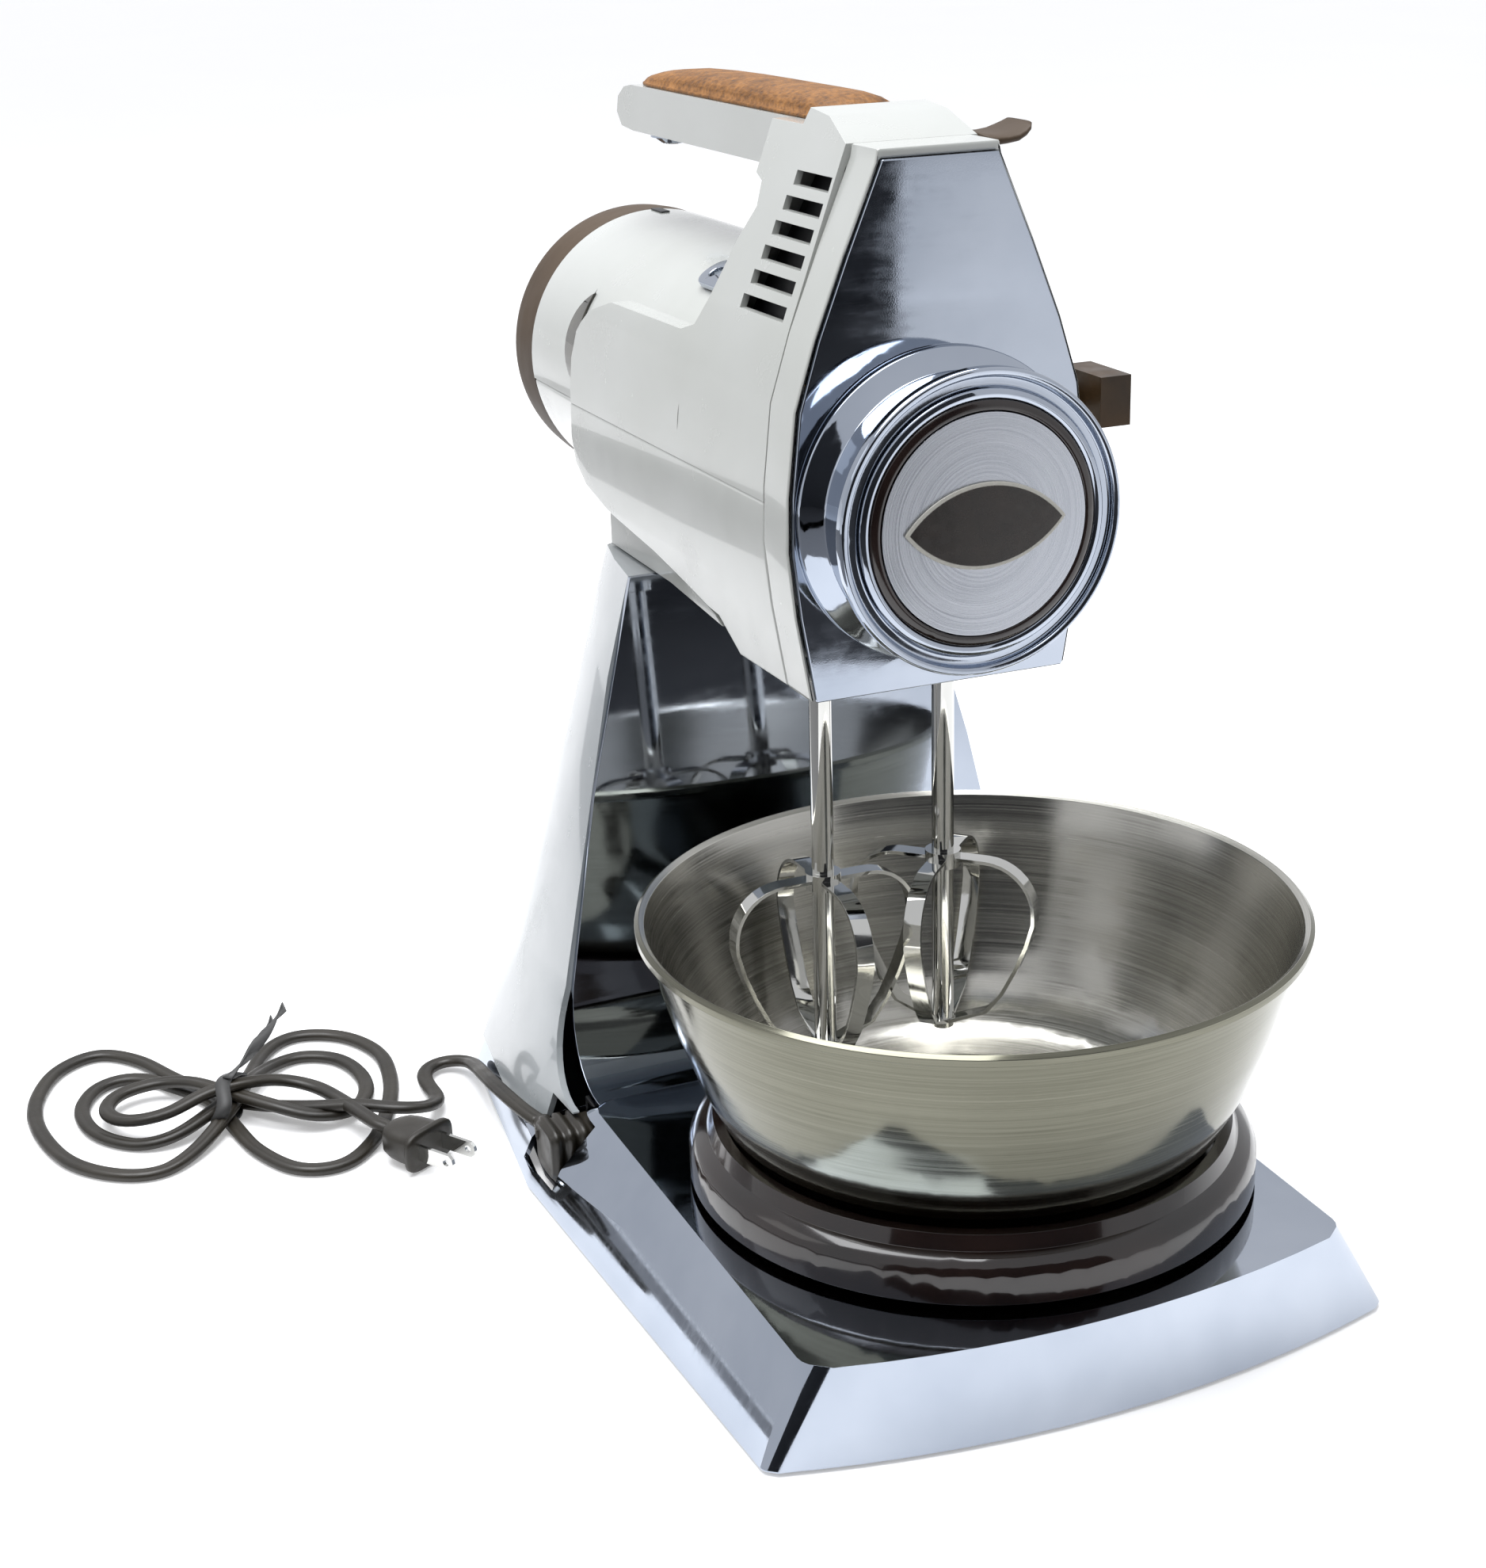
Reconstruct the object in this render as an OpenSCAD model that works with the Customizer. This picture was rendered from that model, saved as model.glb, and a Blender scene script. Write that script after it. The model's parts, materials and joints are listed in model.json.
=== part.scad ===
// Vintage stand mixer: chromed base and column front, white tilting head, steel bowl.
// Millimetres. +Z is up, -Y is the front, the origin is under the middle of the footprint.

/* [Base] */
// Half width of the base where it is widest
base_half_w = 125; // [123:0.5:126]
// Front edge of the base
base_front_y = -207; // [-207.5:0.5:-205]
// Rear edge of the base
base_rear_y = 136; // [134:1:138]
// Height of the deck that carries the turntable
deck_z = 33.5; // [32:0.5:34]

/* [Bowl and turntable] */
// Sideways offset of the bowl from the middle of the base
bowl_x = 7.2; // [5:0.2:8]
// Centre of the bowl, front to back
bowl_y = -92; // [-93:0.5:-91]
// Outer radius of the bowl's rim, before its bead
bowl_r = 114; // [112:0.5:115]
// Height of the bowl's rim
bowl_rim_z = 130; // [128:1:134]
// Outer radius of the turntable
table_r = 99.5; // [97:0.5:100]

/* [Head] */
// Height of the motor shaft
motor_z = 283; // [283:1:284]
// Outer radius of the motor barrel
barrel_r = 55; // [55:0.5:56]
// Height of the seam between the upper and lower housings
seam_z = 275; // [274:1:276]
// Front face of the mask
mask_y = -84; // [-85:0.5:-84]
// Height of the centre of the round bezel
bezel_z = 272; // [271:1:273]

/* [Beaters] */
// Half the distance between the two beaters
beater_x = 23.9; // [23.6:0.1:24.2]
// Beater shafts, front to back
beater_y = -38; // [-39:0.5:-37.5]
// Outer radius of a beater's loops
loop_r = 35.5; // [35:0.5:36]
// Lowest point of the loops
loop_bottom_z = 62.5; // [62:0.5:64]
// Height of the hub where the loops meet
loop_hub_z = 129; // [126:1:131]

/* [Hidden] */
$fn = 64;
wall = 2.5;
run_gap = 0.05;
bezel_y = mask_y - 30;
barrel_front_y = 10;
barrel_rear_y = 171;
cap_rear_y = 207.3;
neck_front_y = -64;
tilt_y = 113;
tilt_z = 221.5;
shaft_r = 4;
wheel_r = 17.6;
worm_r = 5.6;
spindle_r = 6.5;
shank_r = 4;
cord_r = 3;

// Half widths of the head's cross section, from its underside to its ridge
head_outline = [[211, 44], [240, 49], [262, 51.5], [280, 51], [307, 48], [329, 41], [354, 31],
                [382, 19], [397, 16]];

// Centre line of the free cord between the connector and the bundle
lead_route = [[-114.6, 27, 20.5], [-116.8, 34.5, 20.5], [-118.4, 46, 20], [-119.3, 58, 19], [-119.7, 70, 17.5],
  [-119.2, 82, 15.2], [-118.2, 94, 12.4], [-117.2, 105, 9.4], [-116.8, 114, 6.8], [-118.2, 120, 5.2],
  [-121.8, 124.2, 4.2], [-126.6, 125.8, 3.6], [-131.4, 124.2, 3.4], [-135.2, 120, 3.4], [-136.8, 114, 3.4],
  [-136.8, 105, 3.4], [-136.6, 97, 3.8], [-138, 90, 5], [-141.8, 84, 6.8], [-147.4, 80.8, 8.6],
  [-153, 80.6, 9.8], [-158, 82.4, 10.2]];
// Centre line of the short end between the bundle and the plug
tail_route = [[-168, 71.5, 11], [-166.3, 69.3, 10.8], [-164.6, 67.1, 10.4], [-163, 65, 10]];

// ---------- shared shapes ----------

// Plan outline of the base: bowed front, rounded corners, sides that swell and then close in
function base_plan(front_w, mid_w, back_w, y_front, y_back, bow, corner, y_mid = 14.5) =
  let (half = [
    for (i = [0:6]) let (x = (front_w - corner) * i / 6) [x, y_front + bow * pow(x / front_w, 2)],
    for (a = [-60:20:0]) [front_w - corner + corner * cos(a), y_front + bow + corner + corner * sin(a)],
    [mid_w, y_mid],
    for (a = [0:30:90]) [back_w - corner + corner * cos(a), y_back - corner + corner * sin(a)]])
  concat(half, [for (i = [len(half) - 1:-1:1]) [-half[i][0], half[i][1]]]);

module plate(points, z, thick) { translate([0, 0, z]) linear_extrude(thick) polygon(points); }

// Solid body of the base, shrunk by an inset: flared skirts, level deck, low ledge round the column
module base_body(inset) {
  low = inset > 0 ? 0.5 : 1.5;
  w = [115 - inset, base_half_w - inset, 120.8 - inset];
  front = base_front_y + inset;
  hull() {
    plate(base_plan(w[0], w[1], w[2], front, 45, 17, 4), low, 0.5);
    plate(base_plan(108 - inset, 119.5 - inset, 116.5 - inset, front + 4, 45, 16, 4), 13 - inset, 0.5);
    plate(base_plan(99 - inset, 100 - inset, 100 - inset, front + 5, 8, 14, 8, -20),
      deck_z - 0.5 - inset, 0.5);
  }
  hull() {
    plate(base_plan(w[0], w[1], 112 - inset, front, base_rear_y - inset, 17, 14), low, 0.5);
    plate(base_plan(108 - inset, 119.5 - inset, 108 - inset, front + 4, base_rear_y - 2 - inset, 16, 14),
      13 - inset, 0.5);
  }
}

// Convex slice of the column, widest between its front and its rear
function column_slice(front_w, mid_w, rear_w, y_front, y_mid, y_rear) = [
  [front_w, y_front], [mid_w, y_mid], [rear_w, y_rear - 8], [rear_w - 12, y_rear],
  [-rear_w + 12, y_rear], [-rear_w, y_rear - 8], [-mid_w, y_mid], [-front_w, y_front]];

module column_body(inset) {
  hull() {
    plate(column_slice(113 - inset, 116 - inset, 108 - inset, 4, 60, 132 - inset), 13, 0.4);
    plate(column_slice(95 - inset, 98 - inset, 90 - inset, 20, 90, 128 - inset), 66, 0.4);
  }
  hull() {
    plate(column_slice(95 - inset, 98 - inset, 90 - inset, 20, 90, 128 - inset), 66, 0.4);
    plate(column_slice(60 - inset, 54 - inset, 49 - inset, 45, 85, 115 - inset), 219.6 - inset, 0.4);
  }
}

// Side profile of the space in front of the column: deck, hollow curve and leaning front
function front_curve(back) = [
  for (a = [0:9:81]) [9 + 32 * sin(a) + back * sin(a), deck_z + 32 * (1 - cos(a)) - back * cos(a)],
  [42 + back, 70], [57 + back, 222]];

module front_space(back) {
  rotate([90, 0, 90]) translate([0, 0, -130])
    linear_extrude(260) polygon(concat(front_curve(back),
      [[57 + back, 260], [-40, 260], [-40, deck_z - back]]));
}

// Cross section of the head, grown by a margin
module head_section(grow, low, high) {
  pts = [for (p = head_outline) [p[1] + grow, p[0]]];
  intersection() {
    polygon(concat(pts, [for (i = [len(pts) - 1:-1:0]) [-pts[i][0], pts[i][1]]]));
    translate([-80, low]) square([160, high - low]);
  }
}

// The section run from front to back
module head_run(grow, low, high, y0, y1) {
  translate([0, y1, 0]) rotate([90, 0, 0]) linear_extrude(y1 - y0) head_section(grow, low, high);
}

// A side profile in Y and Z run across the whole width
module across(points, half = 70) {
  rotate([90, 0, 90]) translate([0, 0, -half]) linear_extrude(2 * half) polygon(points);
}

module along_y(y0, y1, r, x = 0, z = motor_z) {
  translate([x, y0, z]) rotate([-90, 0, 0]) cylinder(h = y1 - y0, r = r);
}

module along_x(x0, x1, r, y, z) {
  translate([x0, y, z]) rotate([0, 90, 0]) cylinder(h = x1 - x0, r = r);
}

// Ring seen from the front, turned round the bezel's centre: points are [radius, y]
module turned_y(points, z) {
  translate([0, 0, z]) rotate([90, 0, 0]) rotate_extrude($fn = 96)
    polygon([for (p = points) [p[0], -p[1]]]);
}

function unit(v) = v / norm(v);
function heading(path, i) = unit(path[min(i + 1, len(path) - 1)] - path[max(i - 1, 0)]);

// Round tube through a list of points
module tube_along(path, r, sides = 8) {
  rings = [for (i = [0:len(path) - 1])
    let (t = heading(path, i), s = unit(cross(t, [0, 0, 1])), u = cross(s, t))
    for (k = [0:sides - 1]) path[i] + r * (cos(k * 360 / sides) * s + sin(k * 360 / sides) * u)];
  last = (len(path) - 1) * sides;
  polyhedron(rings, concat(
    [[for (k = [0:sides - 1]) k]],
    [for (i = [0:len(path) - 2]) for (k = [0:sides - 1])
      let (a = i * sides + k, b = i * sides + (k + 1) % sides) [a, a + sides, b + sides, b]],
    [[for (k = [sides - 1:-1:0]) last + k]]));
}

// Straight wire between two points
module wire(a, b, r = 1.6) {
  d = b - a;
  translate(a) rotate([0, acos(d[2] / norm(d)), atan2(d[1], d[0])]) cylinder(h = norm(d), r = r, $fn = 16);
}

// ---------- stand ----------

// Opening in the left side of the stand where the cord's connector goes in
module inlet_opening() { translate([-135, -4, 6]) cube([45, 33, 24.4]); }

module base_pan() {
  color("gainsboro") difference() {
    base_body(0);
    base_body(1.6);
    translate([bowl_x, bowl_y, 20]) cylinder(h = 20, r = 11);
    inlet_opening();
    translate([-99, 8, 6]) cube([22, 14.4, 30]);
    translate([-40, 40, 10]) cube([80, 40, 25]);
  }
}

module base_plate() {
  color("dimgray") difference() {
    plate(base_plan(110, 118, 104, base_front_y + 5, base_rear_y - 6, 17, 12), 4, 1.4);
    for (x = [-92, 92]) for (y = [-165, 92]) translate([x, y, 0]) cylinder(h = 10, r = 2.6, $fn = 24);
  }
}

module rubber_feet() {
  color("black") for (x = [-92, 92]) for (y = [-165, 92])
    translate([x, y, 0]) difference() {
      cylinder(h = 4, r = 9);
      translate([0, 0, -1]) cylinder(h = 3, r = 4.6);
      translate([0, 0, -1]) cylinder(h = 10, r = 2.4, $fn = 24);
    }
}

module base_screws() {
  color("silver") for (x = [-92, 92]) for (y = [-165, 92])
    translate([x, y, 2]) cylinder(h = 9, r = 2.2, $fn = 24);
}

module turntable_bush() {
  color("darkkhaki") translate([bowl_x, bowl_y, 0]) difference() {
    union() {
      translate([0, 0, 12]) cylinder(h = deck_z - 10.5, r = 10.9);
      translate([0, 0, deck_z]) cylinder(h = 1.5, r = 15);
    }
    translate([0, 0, 14]) cylinder(h = 30, r = 5 + run_gap);
  }
}

module column_shell() {
  color("whitesmoke") difference() {
    column_body(0);
    column_body(wall);
    base_body(-0.2);
    inlet_opening();
    front_space(2.6);
    translate([-42, 97.8, 206]) cube([84, 32.2, 20]);
    translate([0, 82, 210]) cylinder(h = 20, r = 6);
    for (x = [-36, 36]) translate([x, 72, 210]) cylinder(h = 20, r = 2.2, $fn = 24);
  }
}

module column_front() {
  color("silver") intersection() {
    difference() {
      front_space(2.4);
      front_space(0);
      base_body(-0.1);
    }
    translate([0, 100, 0]) rotate([90, 0, 0]) linear_extrude(110)
      polygon([[-98, 30], [98, 30], [94, 66], [79, 140], [58, 220], [-58, 220], [-79, 140], [-94, 66]]);
  }
}

module hinge_bracket() {
  color("gray") difference() {
    union() {
      translate([-44, 62, 213.8]) cube([88, 37, 3]);
      for (x = [-40, 26]) translate([x, 98, 213.8]) cube([14, 12, 5.4]);
      for (x = [-40, 26]) along_x(x, x + 14, 6, tilt_y, tilt_z);
    }
    along_x(-60, 60, 3.2, tilt_y, tilt_z);
    for (x = [-36, 36]) translate([x, 72, 210]) cylinder(h = 12, r = 2.2, $fn = 24);
    translate([0, 82, 210]) cylinder(h = 12, r = 6);
  }
}

module hinge_pin() { color("silver") along_x(-41, 41, 3.15, tilt_y, tilt_z); }

module column_screws() {
  color("silver") {
    for (x = [-36, 36]) translate([x, 72, 210]) {
      cylinder(h = 9.6, r = 2.15, $fn = 24);
      translate([0, 0, 1.6]) cylinder(h = 2.2, r = 4, $fn = 24);
    }
  }
}

module power_inlet() {
  color("black") difference() {
    translate([-98, -3.8, 6.2]) cube([20, 25.6, 24]);
    translate([-110, -1.8, 7.8]) cube([28, 21.6, 20.8]);
    for (y = [5.5, 12.5]) along_x(-90, -70, 1.55, y, 18.2);
  }
}

module inlet_pins() {
  color("gold") for (y = [5.5, 12.5]) along_x(-96, -76, 1.5, y, 18.2);
}

module stand_wire() {
  color("dimgray") for (s = [-1, 1]) {
    wire([-74.6, 9 + s * 3.5, 18.2], [-30 + s * 3, 50 + s * 3, 9]);
    translate([-30 + s * 3, 50 + s * 3, 9]) sphere(r = 1.8, $fn = 16);
    wire([-30 + s * 3, 50 + s * 3, 9], [s * 3, 80 + s, 180]);
    translate([s * 3, 80 + s, 180]) sphere(r = 1.8, $fn = 16);
    wire([s * 3, 80 + s, 180], [s * 3, 82, 217]);
  }
}

module turntable() {
  color("saddlebrown") translate([bowl_x, bowl_y, 0]) rotate_extrude($fn = 128) polygon([
    [0, 46], [85, 46], [87, 57], [91, 57], [93, 52], [97, 50], [table_r, 46], [table_r, 36.2],
    [94, 36.2], [92, 42], [16, 42], [10, 38.5], [0, 38.5]]);
}

module turntable_spindle() {
  color("silver") translate([bowl_x, bowl_y, 14.5]) cylinder(h = 24, r = 5);
}

module mixing_bowl() {
  color("silver") translate([bowl_x, bowl_y, 0]) rotate_extrude($fn = 160) polygon([
    [0, 48.4], [52, 48.4], [54, 46.3], [62, 46.3], [74, 49], [82, 54], [89, 62], [96, 76], [104, 98],
    [bowl_r - 1.2, bowl_rim_z - 2.5], [bowl_r + 1.3, bowl_rim_z - 1.5], [bowl_r + 1.3, bowl_rim_z + 0.8],
    [bowl_r - 0.2, bowl_rim_z + 2], [bowl_r - 2, bowl_rim_z + 0.6],
    [102.6, 98.5], [94.6, 76.6], [87.7, 62.8], [81, 55.2], [73.4, 50.3], [62, 47.6], [54.6, 47.6],
    [52.6, 49.8], [0, 49.8]]);
}

// ---------- head shells ----------

// Side profile of the upper housing's boxy part: ridge, neck and side panel
upper_profile = [
  [neck_front_y, seam_z], [neck_front_y, 386], [-47, 393], [-32, 394.5], [-30, 389.2], [-6, 389.2],
  [-6, 372], [-12, 370], [-14, 362], [-7, 351], [2, 330], [8, 321], [18, 318], [85, 317.5], [104, 312],
  [114, 303], [118, 292], [117, seam_z]];

// Side profile of the handle, which the grip lies on
handle_profile = [[-12, 372], [146, 372], [158, 373], [163, 378],
  [161, 384], [154, 388], [146, 389.2], [-12, 389.2]];

// Side profile of the lower housing, above the saddle that carries it
lower_profile = [
  [neck_front_y, seam_z], [neck_front_y, 211], [-24, 211], [-10, 222], [0, 223], [21, 227.5],
  [47, 232.5], [92, 238.5], [108, 243], [118, 252], [118, seam_z]];

// The boxy part of the head, a little wider at its rear than at its front
module head_box(grow) {
  hull() {
    head_run(grow, 200, 400, neck_front_y - 2, neck_front_y - 1.9);
    head_run(grow + 3.5, 200, 400, 119, 119.1);
  }
}

module vent_slots() {
  for (side = [-1, 1]) for (i = [0:5])
    translate([side * 40 - 26, -62 + i * 0.8, 371 - i * 8]) cube([52, 26 + i * 1.6, 4.6]);
}

module upper_housing() {
  color("whitesmoke") difference() {
    union() {
      intersection() { head_box(3); across(upper_profile); }
      intersection() {
        translate([-17, -20, 300]) cube([34, 190, 100]);
        across(handle_profile);
      }
      intersection() {
        along_y(barrel_front_y, barrel_rear_y, barrel_r);
        translate([-80, 0, seam_z]) cube([160, 200, 80]);
      }
    }
    intersection() {
      head_box(0.5);
      across([[-70, 270], [-70, 379], [-24, 379], [-20, 362], [-12, 346], [-2, 326], [6, 314],
        [112, 300], [112, 270]]);
    }
    along_y(barrel_front_y + 4, barrel_rear_y + 1, barrel_r - wall);
    vent_slots();
    translate([11.6, -53.4, 340]) cube([3.2, 12.8, 48.6]);
    translate([11.6, -53.4, 377]) cube([16, 12.8, 11.6]);
    along_x(42, 60, shaft_r + run_gap, -56, 296);
  }
}

module lower_housing() {
  color("whitesmoke") difference() {
    union() {
      intersection() {
        head_box(3);
        across(lower_profile);
        translate([-90, -90, 150]) cube([180, 220, seam_z - 150]);
      }
      intersection() {
        along_y(barrel_front_y, barrel_rear_y, barrel_r);
        translate([-80, 0, 180]) cube([160, 200, seam_z - 180]);
      }
    }
    intersection() {
      head_box(0.5);
      across([[-70, 280], [-70, 214], [-26, 214], [-11, 225.5], [0, 226], [21, 230.5], [47, 235.5],
        [92, 241.5], [106, 246], [112, 256], [112, 280]]);
    }
    along_y(barrel_front_y + 4, barrel_rear_y + 1, barrel_r - wall);
    for (side = [-1, 1]) translate([side * beater_x, beater_y, 200]) cylinder(h = 30, r = 9.5);
    translate([0, 82, 222]) cylinder(h = 12, r = 6);
    for (x = [-30, 30]) translate([x, -56, 205]) cylinder(h = 12, r = 2, $fn = 24);
  }
}

// Saddle under the head: it carries the head and swings on the column's hinge
module saddle() {
  color("whitesmoke") difference() {
    union() {
      across([[-8, 217], [-2, 219.6], [21, 224.6], [47, 229.8], [92, 235.8], [106, 240], [106, 220.7],
        [42, 220.5]], 47.5);
      translate([-25.6, 100, 220.7]) cube([51.2, 13, 8]);
      along_x(-25.6, 25.6, 6, tilt_y, tilt_z);
    }
    along_x(-60, 60, 3.15 + run_gap, tilt_y, tilt_z);
    along_y(-20, 140, barrel_r + 0.2);
    translate([0, 82, 210]) cylinder(h = 30, r = 6);
  }
}

module front_frame() {
  color("whitesmoke") difference() {
    head_run(3, 208, 386, mask_y + 1, neck_front_y);
    head_run(1.6, 210, 383, mask_y - 5, neck_front_y + 5);
  }
}

module front_mask() {
  color("silver") difference() {
    head_run(1.4, 210.2, 382.8, mask_y - 0.5, mask_y + 1.6);
    along_y(mask_y - 5, mask_y + 5, 44.2, 0, bezel_z);
  }
}

module bezel_ring() {
  color("silver") turned_y([[41.8, mask_y + 1], [41.8, mask_y - 1], [36, bezel_y + 6], [36, bezel_y + 1.6],
    [39.8, bezel_y + 1.6], [39.8, bezel_y + 0.4], [41.2, bezel_y - 0.2], [43, bezel_y + 0.4],
    [43.6, bezel_y + 2.6], [46.4, bezel_y + 2.6], [47.2, bezel_y + 0.2], [49, bezel_y],
    [49.7, bezel_y + 1], [49.7, bezel_y + 4], [47.4, bezel_y + 6],
    [45, bezel_y + 12], [45, mask_y - 8], [49, mask_y - 5], [52, mask_y - 3], [52, mask_y - 0.8],
    [44, mask_y - 0.7], [44, mask_y + 1]], bezel_z);
}

module bezel_trim() {
  color("saddlebrown") turned_y([[36.2, bezel_y + 1.4], [39.7, bezel_y + 1.4], [39.7, bezel_y + 0.2],
    [38, bezel_y - 0.6], [36.2, bezel_y - 0.4]], bezel_z);
}

module badge_disc() {
  color("lightgray") along_y(bezel_y - 0.6, bezel_y + 5.8, 35.9, 0, bezel_z);
}

module badge_emblem() {
  color("maroon") translate([0, bezel_y - 0.7, bezel_z]) rotate([90, 0, 0])
    linear_extrude(1) intersection() {
      translate([0, -22]) circle(r = 36);
      translate([0, 22]) circle(r = 36);
    }
}

module handle_grip() {
  color("sienna") intersection() {
    translate([0, 170, 0]) rotate([90, 0, 0]) linear_extrude(205)
      polygon([[-15.5, 389.3], [15.5, 389.3], [14.5, 394], [9, 397.2], [-9, 397.2], [-14.5, 394]]);
    across([[-30, 389.2], [-24, 395], [-10, 398], [60, 398], [120, 396], [146, 392],
      [148, 388.5], [60, 389.2]]);
  }
}

module handle_stud() {
  color("silver") translate([0, 146, 371.8]) mirror([0, 0, 1]) {
    cylinder(h = 3, r = 9);
    translate([0, 0, 3]) cylinder(h = 2.5, r1 = 9, r2 = 5, $fn = 48);
  }
}

module vent_screens() {
  color("black") for (side = [-1, 1]) hull() {
    translate([side * 17.5 - 0.6, -62, 376]) cube([1.2, 28, 1]);
    translate([side * 35.5 - 0.6, -60, 328]) cube([1.2, 44, 1]);
  }
}

module intake_windows() {
  color("black") for (side = [-1, 1]) intersection() {
    difference() {
      along_y(118.2, 132, barrel_r + 1);
      along_y(110, 140, barrel_r);
    }
    translate([side * 50, 112, 299]) rotate([0, 90, 0]) cylinder(h = 30, r = 18, center = true);
  }
}

module index_mark() {
  color("black") translate([-2, 158, motor_z + barrel_r]) cube([4, 12, 0.6]);
}

module housing_screws() {
  color("silver") for (x = [-30, 30]) translate([x, -56, 208.8]) {
    cylinder(h = 2.2, r = 3.6, $fn = 24);
    translate([0, 0, 2]) cylinder(h = 14, r = 1.8, $fn = 24);
  }
}

// ---------- head internals ----------

module gear_frame() {
  color("silver") difference() {
    union() {
      translate([-44, -56, 236]) cube([88, 36, 7]);
      translate([-40, -56, 300]) cube([80, 36, 7]);
      for (x = [-44, 38]) translate([x, -56, 240]) cube([6, 6, 64]);
    }
    for (side = [-1, 1]) translate([side * beater_x, beater_y, 230]) cylinder(h = 80, r = 9);
  }
}

module spindle_bushes() {
  color("goldenrod") for (side = [-1, 1]) for (z = [236, 300]) translate([side * beater_x, beater_y, z])
    difference() {
      cylinder(h = 7, r = 8.9);
      translate([0, 0, -1]) cylinder(h = 10, r = spindle_r + run_gap);
    }
}

module motor_stator() {
  color("slategray") difference() {
    along_y(62, 108, 52.3);
    along_y(60, 110, 29.6);
  }
  color("peru") difference() {
    along_y(54, 116, 44);
    along_y(50, 118, 31);
    along_y(61.9, 108.1, 55);
  }
}

module motor_brackets() {
  color("silver") for (y = [22, 142]) difference() {
    along_y(y, y + 5, 52.3);
    along_y(y - 1, y + 8, 9);
    for (a = [45:90:315]) along_y(y - 1, y + 8, 11, 33 * cos(a), motor_z + 33 * sin(a));
  }
}

module motor_bearings() {
  color("goldenrod") for (y = [20, 142]) difference() {
    along_y(y, y + 9, 8.9);
    along_y(y - 1, y + 10, shaft_r + run_gap);
  }
}

module brush_holders() {
  color("goldenrod") for (side = [-1, 1]) difference() {
    translate([side > 0 ? 13.5 : -35.5, 122, motor_z - 5]) cube([22, 20, 10]);
    translate([side > 0 ? 12 : -34, 124, motor_z - 3]) cube([22, 6, 6]);
  }
}

module carbon_brushes() {
  color("black") for (x = [-32.3, 12.3]) translate([x, 124.1, motor_z - 2.9]) cube([20, 5.8, 5.8]);
}

module head_wire() {
  color("dimgray") for (x = [-3, 3]) wire([x, 82, 224], [x, 82, 230.3], 1.4);
}

module motor_shaft() {
  color("silver") {
    along_y(-58, 165, shaft_r);
    along_y(-50, -26, worm_r);
  }
}

module rotor_core() {
  color("slategray") difference() {
    union() {
      along_y(62, 108, 29);
      along_y(54, 116, 22);
    }
    along_y(50, 120, shaft_r);
  }
}

module commutator() {
  color("peru") difference() {
    along_y(121, 134, 12);
    along_y(118, 136, shaft_r);
  }
}

module cooling_fan() {
  color("dimgray") difference() {
    union() {
      along_y(38, 50, 9);
      for (a = [0:45:315]) translate([0, 44, motor_z]) rotate([0, a, 0])
        translate([0, -5, -0.8]) cube([42, 10, 1.6]);
      along_y(38, 39.5, 42);
    }
    along_y(30, 60, shaft_r);
  }
}

module speed_dial() {
  color("tan") translate([0, 0, motor_z]) rotate([90, 0, 0]) rotate_extrude($fn = 96)
    polygon([for (p = [[0, cap_rear_y], [30, cap_rear_y], [44, 205.5], [51, 201], [54.3, 194],
      [54.8, 186], [54.8, barrel_rear_y + 0.4], [51, barrel_rear_y + 0.4], [51, 190], [46, 199],
      [8, 203], [8, 172], [0, 172]]) [p[0], -p[1]]]);
}

module worm_gear(side) {
  color("peru") translate([side * beater_x, beater_y, motor_z - 5]) difference() {
    cylinder(h = 10, r = wheel_r);
    translate([0, 0, -1]) cylinder(h = 12, r = spindle_r);
    for (a = [0:12:348]) rotate([0, 0, a]) translate([wheel_r, 0, -1]) cylinder(h = 12, r = 0.9, $fn = 16);
  }
}

module worm_gear_left() { worm_gear(-1); }
module worm_gear_right() { worm_gear(1); }

module beater_spindle(side) {
  color("silver") translate([side * beater_x, beater_y, 0]) difference() {
    translate([0, 0, 206]) cylinder(h = 101.4, r = spindle_r);
    translate([0, 0, 200]) cylinder(h = 62, r = shank_r + run_gap);
    translate([0, 0, 250]) cylinder(h = 70, r = 2.2, $fn = 24);
  }
}

module beater_spindle_left() { beater_spindle(-1); }
module beater_spindle_right() { beater_spindle(1); }

// One flat strip of a beater: shoulder, straight side and a long taper to the foot
module beater_strip() {
  side = [[0, 106], [-2.5, 97], [-6.5, 87], [-11.5, 77], [-17.5, 69]];
  rotate([90, 0, 0]) translate([0, 0, -3.2]) linear_extrude(6.4) polygon(concat(
    [[2.5, loop_hub_z]],
    [for (a = [90:-10:0]) [loop_r - 19 + 19 * cos(a), loop_hub_z - 19 + 19 * sin(a)]],
    [for (p = side) [loop_r + p[0], p[1]]],
    [[3, loop_bottom_z], [3, loop_bottom_z + 1.6]],
    [for (i = [4:-1:0]) [loop_r + side[i][0] - 1.3, side[i][1] + 0.5]],
    [for (a = [0:10:90]) [loop_r - 19 + 17.7 * cos(a), loop_hub_z - 19 + 17.7 * sin(a)]],
    [[2.5, loop_hub_z - 1.3]]));
}

module beater(side, turn) {
  color("silver") translate([side * beater_x, beater_y, 0]) {
    translate([0, 0, loop_bottom_z - 2]) cylinder(h = 252 - loop_bottom_z, r = shank_r);
    translate([0, 0, loop_hub_z - 4]) cylinder(h = 6, r = 6.5);
    for (a = [0:90:270]) rotate([0, 0, a + turn]) beater_strip();
  }
}

module beater_left() { beater(-1, 0); }
module beater_right() { beater(1, 45); }

// ---------- controls ----------

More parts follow.
